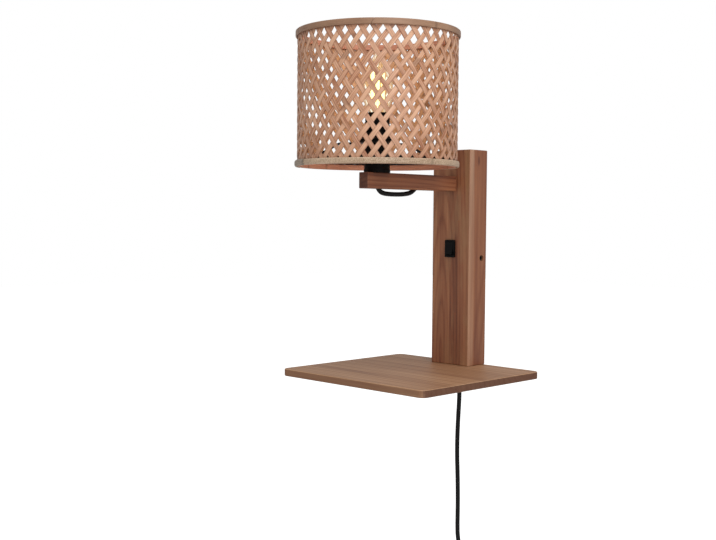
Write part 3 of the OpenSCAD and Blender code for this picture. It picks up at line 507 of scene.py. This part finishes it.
# %% The numbers of the weave
SHADE_AXIS = Vector((0, -0.163, 0))
STRIPS = 43
STEP = 360 / STRIPS
STRIP_W, STRIP_T = 0.0053, 0.0006        # width and thickness
LAY_R = 0.08925          # the weave's middle surface
SWING = 0.00034          # how far a strip moves out and in as it passes over and under
FOOT, HEAD = 0.1053, 0.2537              # the heights between which a strip runs
MIDDLE = (FOOT + HEAD) / 2
LEAN = {"right": 36.5, "left": 32.3}
START = {"right": 5.84, "left": 2.80}
DRIFT = {"right": -0.92, "left": -1.64}    # degrees of creep round the back
VIEWED_FROM = -46        # the angle round the axis where the camera stands
SPREAD = 5.9             # degrees by which both families have spread on the right side
SPREAD_AT, SPREAD_HALF = 35, 95          # the spread's middle and its reach, in degrees


def climb(family):
    """Degrees round the drum for each metre of height."""
    sign = 1 if family == "right" else -1
    return sign * math.degrees(math.tan(math.radians(LEAN[family])) / 0.09)


def start(family, a):
    """Where a strip crosses the middle height: the weave has crept and spread a little."""
    back = 0.5 - 0.5 * math.cos(math.radians(a - VIEWED_FROM))
    away = abs((a - SPREAD_AT + 180) % 360 - 180) / SPREAD_HALF
    spread = SPREAD * (0.5 + 0.5 * math.cos(math.pi * min(away, 1)))
    return START[family] + DRIFT[family] * back * back * (3 - 2 * back) + spread


def over_under(a, z):
    """1 where the right-leaning strips lie outside, -1 where they lie inside."""
    apart = start("right", a) - start("left", a)
    rows = (apart + (climb("right") - climb("left")) * (z - MIDDLE)) / STEP
    return math.sin(math.pi / 2 * math.cos(math.pi * rows))


print(STRIPS, "strips each way, one every", round(STEP, 2), "degrees")

# %% [markdown]
# One strip is a flat grid whose points are carried onto the drum. Each strip gets its own slight
# errors of width and lean, as split bamboo has, and a number that later gives it its own colour.
# All strips of one family are joined, and Solidify gives them their thickness.

# %% Weave the strips
FACE_OUT = (bpy.ops.mesh.normals_make_consistent, {"inside": False})


def face_away(piece):
    """Turn the normals of a thin sheet away from the shade's axis."""
    edit(piece, FACE_OUT)
    outwards = sum((f.center - SHADE_AXIS).xy.dot(f.normal.xy) for f in piece.data.polygons)
    if outwards < 0:
        piece.data.flip_normals()
    return piece


def weave(family, seed):
    dice = random.Random(seed)
    sign = 1 if family == "right" else -1
    strips, tones = [], []
    for k in range(STRIPS):
        bpy.ops.mesh.primitive_grid_add(x_subdivisions=2, y_subdivisions=66, size=1)
        strip = bpy.context.active_object
        width = STRIP_W * dice.uniform(0.93, 1.05)
        shift, slant = dice.uniform(-0.28, 0.28), dice.uniform(-0.35, 0.35)
        bow = dice.uniform(-0.25, 0.25)
        half = math.degrees(width / 2 / math.cos(math.radians(LEAN[family])) / LAY_R)
        for point in strip.data.vertices:
            u, v = point.co.x * 2, point.co.y + 0.5
            z = FOOT + v * (HEAD - FOOT)
            wander = shift + slant * (2 * v - 1) + bow * math.sin(math.pi * v)
            a = STEP * k + climb(family) * (z - MIDDLE)
            a += start(family, a) + wander + half * u
            crown = 0.00006 * (1 - u * u)
            r = LAY_R + sign * SWING * over_under(a, z) + crown
            a = math.radians(a)
            point.co = SHADE_AXIS + Vector((r * math.cos(a), r * math.sin(a), z))
        strips.append(strip)
        tones += [dice.random()] * len(strip.data.polygons)
    pick(*strips)
    bpy.ops.object.join()
    piece = bpy.context.active_object
    piece.name = "woven_strips_" + family
    tone = piece.data.attributes.new("strip_tone", "FLOAT", "FACE")
    tone.data.foreach_set("value", tones)
    face_away(settle(piece))
    modify(piece, "SOLIDIFY", thickness=STRIP_T, offset=0)
    return smooth(piece, 50)


strips_right = weave("right", 11)
strips_left = weave("left", 23)
print(len(strips_right.data.polygons), "faces in one family of strips")

# %% [markdown]
# ## The finish of split bamboo
# Split bamboo has straight, close fibres that run with the strip, a faint stripe pattern, and now
# and then a darker ring where the culm had a joint. The grid gave each strip its own UV map, with
# v along the strip, so fibres drawn in UV follow the weave everywhere. A strip's cut edges are
# darker than its middle. Its inner face is warmer with painted light of the bulb, and the strips
# have painted shade: darker towards the drum's foot, and a band just under the upper hoop as its
# shadow.

# %% Bamboo strips
def bamboo_strip(name, pale, deep, seed):
    s = Sheet(name)
    uv = s.add("ShaderNodeUVMap", {"uv_map": "UVMap"})
    tone = s.add("ShaderNodeAttribute", {"attribute_name": "strip_tone"}, out="Fac")
    u, v, _ = s.axes(uv)

    def along_strip(across, along, depth, detail, roughness=0.5):
        own = s.add("ShaderNodeCombineXYZ", None, {0: across, 1: along, 2: depth})
        return s.noise(own, 1, detail, roughness)

    fibre = along_strip(u * 26 + tone * 91, v * 9 + tone * 57, tone * 31 + seed, 4, 0.62)
    streak = along_strip(u * 5 + tone * 67, v * 4, seed, 2)
    patch = along_strip(u * 1.4, v * 7 + tone * 40, seed, 2)
    joint_at = (v * 1.35 + tone * 7.3).sin().abs().ease(0.9986, 0.99985)
    edge = (u - 0.5).abs().ease(0.34, 0.5)
    uneven = (fibre - 0.5) * 1.1 + (streak - 0.5) * 2.3 + (patch - 0.5) * 1.6
    colour = s.blend((tone * 0.6 + uneven + 0.045).within(), pale, deep)
    x, y, z = s.axes(s.stretch((1, 1, 1), tuple(-c for c in SHADE_AXIS)))
    nx, ny, _ = s.axes(s.add("ShaderNodeTexCoord", out="Normal"))
    # painted light of the bulb: the strips' inner faces are warmer
    inside = 1 - (x * nx + y * ny).ease(-0.03, 0.03)
    colour = s.blend(inside * 0.6, colour, rgb(226, 164, 110))
    # painted shade: darker towards the drum's foot, and the upper hoop's shadow just under it
    painted_end_shade = (1 - z.ease(0.098, 0.15)) * 0.3 + z.ease(0.2445, 0.2485) * 0.6
    colour = s.blend(painted_end_shade, colour, tuple(c * 0.7 for c in deep))
    colour = s.blend((joint_at * 0.45 + edge * 0.5).within(), colour, tuple(c * 0.42 for c in deep))
    rough = 0.46 + (fibre - 0.5) * 0.22
    return s.done(Base_Color=colour, Roughness=rough,
                  Normal=s.bump(fibre + joint_at * 0.6, 0.00008))


strip_finish_right = bamboo_strip(
    "bamboo strip leaning right", rgb(220, 172, 139), rgb(163, 104, 73), 3.1)
strip_finish_left = bamboo_strip(
    "bamboo strip leaning left", rgb(217, 169, 137), rgb(158, 101, 71), 8.4)
finish(strips_right, strip_finish_right, replaces=["strips_leaning_right"])
finish(strips_left, strip_finish_left, replaces=["strips_leaning_left"])
print("the weave is dressed")

# %% [markdown]
# ## The hoops
# Four hoops of bent bamboo hold the weave, an outer and an inner one at each end. A hoop is a bar
# of one section bent round until its ends meet in a slanted joint. So a circle is pressed into a
# rounded section, it is spun round the shade's axis, and then leaned so that the joint is cut at a
# slant.

# %% Bend four hoops
JOINT_GAP = 0.005        # radians left open between a hoop's two ends
OUTER_SHARE = 0.58       # how much of a hoop's thickness lies outside its widest line
MERGE = (bpy.ops.mesh.remove_doubles, {"threshold": 1e-6})
CLOSE_ENDS = (bpy.ops.mesh.fill_holes, {"sides": 0})


def hoop_sizes(node):
    """A hoop's outer radius, its middle height and half its height, in the CAD model."""
    low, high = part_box(node)
    return (high.x - low.x) / 2, (low.z + high.z) / 2, (high.z - low.z) / 2


def hoop(name, node, thickness, squareness, joint, slant=0.5):
    """Spin a rounded section round the shade. Squareness 2 is half-round, 6 nearly a bar; joint
    is the place of the ends, in degrees."""
    outer, middle, half = hoop_sizes(node)
    bpy.ops.mesh.primitive_circle_add(vertices=24, radius=1, fill_type="NOTHING")
    piece = bpy.context.active_object
    piece.name = name
    for point in piece.data.vertices:
        c, s = point.co.x, point.co.y
        c, s = (math.copysign(abs(t) ** (2 / squareness), t) for t in (c, s))
        reach = thickness * (1 - OUTER_SHARE) if c < 0 else thickness * OUTER_SHARE
        depth = outer - thickness * OUTER_SHARE + c * reach
        a = math.radians(joint)
        flat = Vector((depth * math.cos(a), depth * math.sin(a), middle + s * half))
        point.co = SHADE_AXIS + flat
    once_round = {"steps": 144, "angle": 2 * math.pi - JOINT_GAP, "center": SHADE_AXIS,
                  "axis": (0, 0, 1)}
    edit(piece, (bpy.ops.mesh.spin, once_round), CLOSE_ENDS)
    for point in piece.data.vertices:
        lean = Matrix.Rotation((point.co.z - middle) * slant / outer, 3, "Z")
        point.co = lean @ (point.co - SHADE_AXIS) + SHADE_AXIS
    return smooth(edit(piece, MERGE, FACE_OUT), 50)


top_rim = hoop("top_rim", "top_hoop_outer", 0.0020, 4.5, -50)
bottom_rim = hoop("bottom_rim", "bottom_hoop_outer", 0.0020, 2.6, -106)
top_rim_lining = hoop("top_rim_lining", "top_hoop_inner", 0.0015, 5, 118)
bottom_rim_lining = hoop("bottom_rim_lining", "bottom_hoop_inner", 0.0015, 5, 64)
print("four hoops,", len(top_rim.data.polygons), "faces each")

# %% [markdown]
# On the lower hoop one end of its strip is lapped over the joint, and thins out there. It is a
# flat grid, bent round the drum with its edges rounded inwards, and thickened.

# %% Lay the lapped end
def lap(name, node, start, end, thickness):
    """A bent bar over a hoop, between two angles, that thins out at its start."""
    outer, middle, half = hoop_sizes(node)
    bpy.ops.mesh.primitive_grid_add(x_subdivisions=6, y_subdivisions=40, size=1)
    piece = bpy.context.active_object
    piece.name = name
    for point in piece.data.vertices:
        u, v = point.co.x * 2, point.co.y + 0.5
        a = math.radians(start + (end - start) * v)
        rounded, thinned = 0.0011 * u ** 4, 0.0004 * min(1, v * 3)
        r = outer - 0.0003 - rounded + thinned
        flat = Vector((r * math.cos(a), r * math.sin(a), middle + half * 0.98 * u))
        point.co = SHADE_AXIS + flat
    modify(face_away(piece), "SOLIDIFY", thickness=thickness, offset=0)
    return smooth(settle(piece), 50)


bottom_rim_lap = lap("bottom_rim_lap", "bottom_hoop_outer", -150, -106, 0.0011)
print("a lapped end,", len(bottom_rim_lap.data.polygons), "faces")

# %% [markdown]
# ## The hoops' finish
# The hoops are thicker strips from the culm's outside. Their fibres run round the drum, so the
# noise is read in the angle round the axis, the height and the depth. The lower hoop is paler and
# greyer than the upper one, with fine specks, and the inner hoops are lighter and pinker with
# painted light of the bulb.

# %% Hoop bamboo
def hoop_bamboo(name, pale, deep, seed, speckle=0.3):
    s = Sheet(name)
    centred = s.stretch((1, 1, 1), tuple(-c for c in SHADE_AXIS))
    x, y, z = s.axes(centred)
    around = s.add("ShaderNodeMath", {"operation": "ARCTAN2"}, {0: y, 1: x})
    reach = (x * x + y * y).root()
    lines = {0: around * 5.5 + seed, 1: z * 1900, 2: reach * 1900}
    fibre = s.noise(s.add("ShaderNodeCombineXYZ", None, lines), 1, 4, 0.6)
    clouds = {0: around * 2.2 + seed, 1: z * 90, 2: seed}
    slow = s.noise(s.add("ShaderNodeCombineXYZ", None, clouds), 1, 2)
    joint_at = (around * 1.6 + seed).sin().abs().ease(0.9991, 0.99995)
    specks = s.noise(s.stretch((900, 900, 900)), 1, 2) - 0.5
    mixed = ((fibre - 0.5) * 0.95 + (slow - 0.5) * 1.1 + specks * speckle + 0.42).within()
    colour = s.blend(mixed, pale, deep)
    colour = s.blend(joint_at * 0.4, colour, tuple(c * 0.45 for c in deep))
    return s.done(Base_Color=colour, Roughness=0.44 + (fibre - 0.5) * 0.2,
                  Normal=s.bump(fibre, 0.0001))


rim_bamboo = hoop_bamboo("hoop bamboo", rgb(174, 136, 108), rgb(118, 82, 60), 1.7)
# painted light of the bulb: the inner hoops are lighter and pinker than the outer ones
bulb_lit_lining_bamboo = hoop_bamboo("inner hoop bamboo", rgb(226, 156, 124), rgb(174, 110, 84), 2.9)
pale_rim_bamboo = hoop_bamboo("pale hoop bamboo", rgb(204, 178, 150), rgb(142, 112, 86), 4.9, 2.2)
finish(top_rim, rim_bamboo, replaces=["top_hoop_outer"])
finish(top_rim_lining, bulb_lit_lining_bamboo, replaces=["top_hoop_inner"])
finish(bottom_rim, pale_rim_bamboo, replaces=["bottom_hoop_outer"])
finish(bottom_rim_lining, bulb_lit_lining_bamboo, replaces=["bottom_hoop_inner"])
grey_bamboo = hoop_bamboo("weathered hoop end", rgb(176, 158, 138), rgb(112, 94, 78), 7.7, 2.2)
finish(bottom_rim_lap, grey_bamboo)
print("the hoops are dressed")

# %% [markdown]
# ## Plain finishes
# Moulded plastic has a very fine grain and a slight unevenness of gloss. Painted wire is smoother.
# Brass and zinc are metals with faint drawing marks. Each is one short recipe with its own numbers.

# %% Plastic, metal, rubber and paint
def moulded(name, colour, rough, grain=900, relief=0.00003, gloss=0.3):
    s = Sheet(name)
    fine = s.noise(s.stretch((grain, grain, grain)), 1, 3, 0.6)
    worn = s.noise(s.stretch((45, 45, 45)), 1, 2)
    shade = s.blend((fine * 0.5 + worn * 0.5).within(), tuple(c * 0.8 for c in colour),
                    tuple(min(1, c * 1.25 + 0.002) for c in colour))
    return s.done(Base_Color=shade, Roughness=rough + (worn - 0.5) * 0.16 + (fine - 0.5) * 0.08,
                  Normal=s.bump(fine, relief), Specular_IOR_Level=gloss)


def metal(name, colour, rough, stretch=(300, 300, 300)):
    s = Sheet(name)
    drawn = s.noise(s.stretch(stretch), 1, 3, 0.6)
    cloud = s.noise(s.stretch((60, 60, 60)), 1, 2)
    shade = s.blend(cloud, tuple(c * 0.86 for c in colour), colour)
    return s.done(Base_Color=shade, Metallic=1.0, Roughness=rough + (drawn - 0.5) * 0.2,
                  Normal=s.bump(drawn, 0.00002))


black_plastic = moulded("black moulded plastic", rgb(9, 5, 4), 0.5, gloss=0.08)
switch_plastic = moulded("switch plastic", rgb(6, 6, 7), 0.3, grain=1600, relief=0.00001,
                         gloss=0.12)
black_paint = moulded("black painted wire", rgb(14, 13, 13), 0.38, grain=500)
cord_rubber = moulded("black cord sheath", rgb(8, 7, 7), 0.45, grain=1400, gloss=0.2)
white_plastic = moulded("white moulded plastic", rgb(222, 219, 210), 0.45)
brown_sheath = moulded("brown wire sheath", rgb(92, 54, 34), 0.45)
tie_plastic = moulded("cord tie", rgb(40, 39, 39), 0.6)
brass = metal("plain brass", rgb(205, 170, 105), 0.32)
zinc = metal("zinc plate", rgb(178, 180, 184), 0.38, (500, 500, 60))
nickel = metal("nickel plate", rgb(196, 194, 188), 0.22)

print("ten plain finishes")

# %% [markdown]
# These pieces are carried over from the solid model as they are. Each only takes off its plain
# colour and wears its finish. The two cords are bought ready, so both wear the same rubber.

# %% Dress the pieces that are carried over
plain = {
    black_plastic: ["lampholder_cap", "lampholder_sleeve", "shade_ring_nut", "bulb_contact",
                    "plug_body"],
    switch_plastic: ["switch_housing", "switch_rocker"],
    black_paint: ["shade_carrier", "bracket_screws"],
    white_plastic: ["contact_block", "connector_block", "cord_clamp"],
    brown_sheath: ["holder_wires", "switch_wires"],
    tie_plastic: ["cord_tie"],
    brass: ["threaded_nipple", "screw_shell", "centre_contact", "switch_terminals"],
    zinc: ["arm_screw", "shelf_screws", "wall_bracket", "clamp_screws"],
    nickel: ["bulb_screw_cap", "plug_pins"],
    cord_rubber: ["column_lead"],
}
for material, members in plain.items():
    for node in members:
        dress(nodes[node], material)
for cable in (hanging_cord, loop_cable):
    dress(cable, cord_rubber)
print(sum(len(members) for members in plain.values()), "pieces dressed")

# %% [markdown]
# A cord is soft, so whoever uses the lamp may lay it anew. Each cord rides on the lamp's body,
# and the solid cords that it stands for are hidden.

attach(hanging_cord, "lamp")
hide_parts("mains_cord", "cord_coil", "cord_tail")
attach(loop_cable, "lamp")
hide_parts("arm_cable")

# %% [markdown]
# ## The thread of the lampholder
# The lampholder's sleeve has a coarse moulded thread outside, on which the ring nut runs. A thread
# is a small profile that turns and climbs at once, which is what the Screw modifier does.

# %% Wind the thread
PITCH_OF_THREAD, SLEEVE_R = 0.0024, 0.0136
RIDGE_H, RIDGE_HALF = 0.0004, 0.00062      # the ridge's height and half its width
PLAIN_ENDS, FIRST_RIDGE = 0.004, 0.0012    # what stays without thread, and where it starts
nut_top, sleeve_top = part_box("shade_ring_nut")[1].z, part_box("lampholder_sleeve")[1].z
turns_of_thread = int((sleeve_top - nut_top - PLAIN_ENDS) / PITCH_OF_THREAD)
bpy.ops.mesh.primitive_circle_add(vertices=8, radius=1, fill_type="NOTHING")
thread = bpy.context.active_object
thread.name = "sleeve_thread"
for point in thread.data.vertices:
    point.co = Vector((SLEEVE_R + point.co.x * RIDGE_H, 0, point.co.y * RIDGE_HALF))
modify(thread, "SCREW", screw_offset=PITCH_OF_THREAD, iterations=turns_of_thread, steps=48,
       render_steps=48, use_merge_vertices=False)
thread.location = SHADE_AXIS + Vector((0, 0, nut_top + FIRST_RIDGE))
edit(settle(thread), CLOSE_ENDS, MERGE, FACE_OUT)
finish(smooth(thread, 60), black_plastic)
print(turns_of_thread, "turns of thread,", len(thread.data.polygons), "faces")

# %% [markdown]
# ## The bulb
# The bulb is clear glass with four glowing filaments. Glass is a transmission shader. The glow is
# emission: strong and pale yellow on the filaments, weaker on the stem between them and weakest on
# the glass. The glow of the stem and the glass is painted glare of the filaments.

# %% Glass and glow
def clear_glass(name, glow=0.0):
    s = Sheet(name)
    film = s.noise(s.stretch((70, 70, 70)), 1, 2)
    glare = s.blend(film, rgb(255, 226, 150), rgb(255, 232, 164))
    return s.done(Base_Color=s.blend(film, rgb(250, 248, 240), rgb(255, 255, 250)),
                  Roughness=0.02 + film * 0.03, Transmission_Weight=1.0, IOR=1.2,
                  Emission_Color=glare, Emission_Strength=glow)


def glowing(name, colour, strength):
    s = Sheet(name)
    coil = (s.axes()[2] * 9000).sin() * 0.5 + 0.5
    shade = s.blend(coil * 0.35, colour, tuple(c * 0.7 for c in colour))
    return s.done(Base_Color=shade, Emission_Color=shade, Emission_Strength=strength,
                  Roughness=0.5)


# painted glare of the filaments on the glass and the stem
glass = clear_glass("bulb glass", 0.05)
stem_glass = clear_glass("stem glass", 0.9)
filament_glow = glowing("glowing filament", rgb(255, 236, 158), 2.2)
dress(nodes["bulb_glass"], glass)
dress(nodes["bulb_stem"], stem_glass)

print("the bulb's glass and stem are dressed")

# %% [markdown]
# A filament is a thin ceramic rod in a soft yellow coat, so each is a cylinder with well rounded
# ends. They are drawn thicker than they are, because their glare makes them look so.

# %% Make the filaments
low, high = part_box("bulb_filaments")
FILAMENT_R = 0.0021
CIRCLE_R = 0.0058          # the filaments stand on a circle of this radius
threads = []
for k in range(4):
    a = math.radians(45 + 90 * k)
    spot = Vector((CIRCLE_R * math.cos(a), CIRCLE_R * math.sin(a), (low.z + high.z) / 2))
    bpy.ops.mesh.primitive_cylinder_add(vertices=24, radius=FILAMENT_R, depth=high.z - low.z,
                                        location=SHADE_AXIS + spot)
    threads.append(bpy.context.active_object)
pick(*threads)
bpy.ops.object.join()
filaments = settle(bpy.context.active_object)
filaments.name = "glowing_filaments"
modify(filaments, "BEVEL", width=0.0014, segments=3, limit_method="ANGLE")
finish(smooth(filaments), filament_glow, replaces=["bulb_filaments"])
print("the bulb is lit, by", len(threads), "filaments")

# %% [markdown]
# ## Floor, sky and lamps
# The photograph has a pure white ground, so the floor looks white to the camera. The Light Path
# node tells the camera's rays from the others, so the light that the floor casts back stays at a
# plain level. The floor lies just under the plug and keeps the soft shadow of the lamp.

# %% Lay the floor
FLOOR_GAP = 0.004          # between the plug and the floor
FLOOR_GLOW = 0.78          # what lifts the floor's grey to white for the camera

low = Vector(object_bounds()[0])
floor_z = low.z - FLOOR_GAP
bpy.ops.mesh.primitive_plane_add(size=14, location=(0, 0, floor_z))
floor = settle(bpy.context.active_object)
floor.name = "floor"
s = Sheet("floor white")
matte = s.add("ShaderNodeBsdfDiffuse", None, {"Color": (0.86, 0.86, 0.86, 1)})
shine = s.add("ShaderNodeEmission", None, {"Color": (1, 1, 1, 1), "Strength": FLOOR_GLOW})
both = s.add("ShaderNodeAddShader", None, {0: matte, 1: shine})
path = s.add("ShaderNodeLightPath")
s.add_output(s.add("ShaderNodeMixShader", None, {0: path, 1: matte, 2: both}))
floor.data.materials.append(s.material)
print("floor at", round(floor_z, 3))

# %% [markdown]
# The world does the same: white for the camera, also through the bulb's glass, and a plain even
# light for everything else, as a white studio gives it.

# %% Light the world
WORLD_CAST = 0.46          # the strength of the light that comes from all round

world = bpy.data.worlds.new("studio")
bpy.context.scene.world = world
world.use_nodes = True
tree = world.node_tree
tree.nodes.clear()
light_path = tree.nodes.new("ShaderNodeLightPath")
either = tree.nodes.new("ShaderNodeMath")
either.operation, either.use_clamp = "ADD", True
tree.links.new(light_path.outputs["Is Camera Ray"], either.inputs[0])
tree.links.new(light_path.outputs["Is Transmission Ray"], either.inputs[1])
seen, cast = tree.nodes.new("ShaderNodeBackground"), tree.nodes.new("ShaderNodeBackground")
seen.inputs["Color"].default_value = (1, 1, 1, 1)
seen.inputs["Strength"].default_value = 1.0
cast.inputs["Color"].default_value = (1, 1, 1, 1)
cast.inputs["Strength"].default_value = WORLD_CAST
mix, out = tree.nodes.new("ShaderNodeMixShader"), tree.nodes.new("ShaderNodeOutputWorld")
tree.links.new(either.outputs[0], mix.inputs[0])
tree.links.new(cast.outputs[0], mix.inputs[1])
tree.links.new(seen.outputs[0], mix.inputs[2])
tree.links.new(mix.outputs[0], out.inputs["Surface"])
print("the world casts", WORLD_CAST)

# %% [markdown]
# Two large soft lamps stand on the lamp's right side, where the light of the photograph comes from:
# one high above and one at the front. They make the column's right side and the shelf's top the
# brightest faces.

# %% Hang two soft lamps
LAMP_AIM = Vector((0, -0.1, 0.05))


def soft_lamp(name, place, size, watts):
    light = bpy.data.lights.new(name, "AREA")
    light.shape, light.size, light.energy = "DISK", size, watts
    lamp = bpy.data.objects.new(name, light)
    bpy.context.scene.collection.objects.link(lamp)
    lamp.location = place
    lamp.rotation_euler = (LAMP_AIM - Vector(place)).to_track_quat("-Z", "Y").to_euler()
    return lamp


soft_lamp("top lamp", (0.9, -0.8, 2.1), size=2.0, watts=30)
soft_lamp("front lamp", (2.05, -1.05, 0.6), size=1.6, watts=15)
print("two lamps aimed at", tuple(round(c, 2) for c in LAMP_AIM))
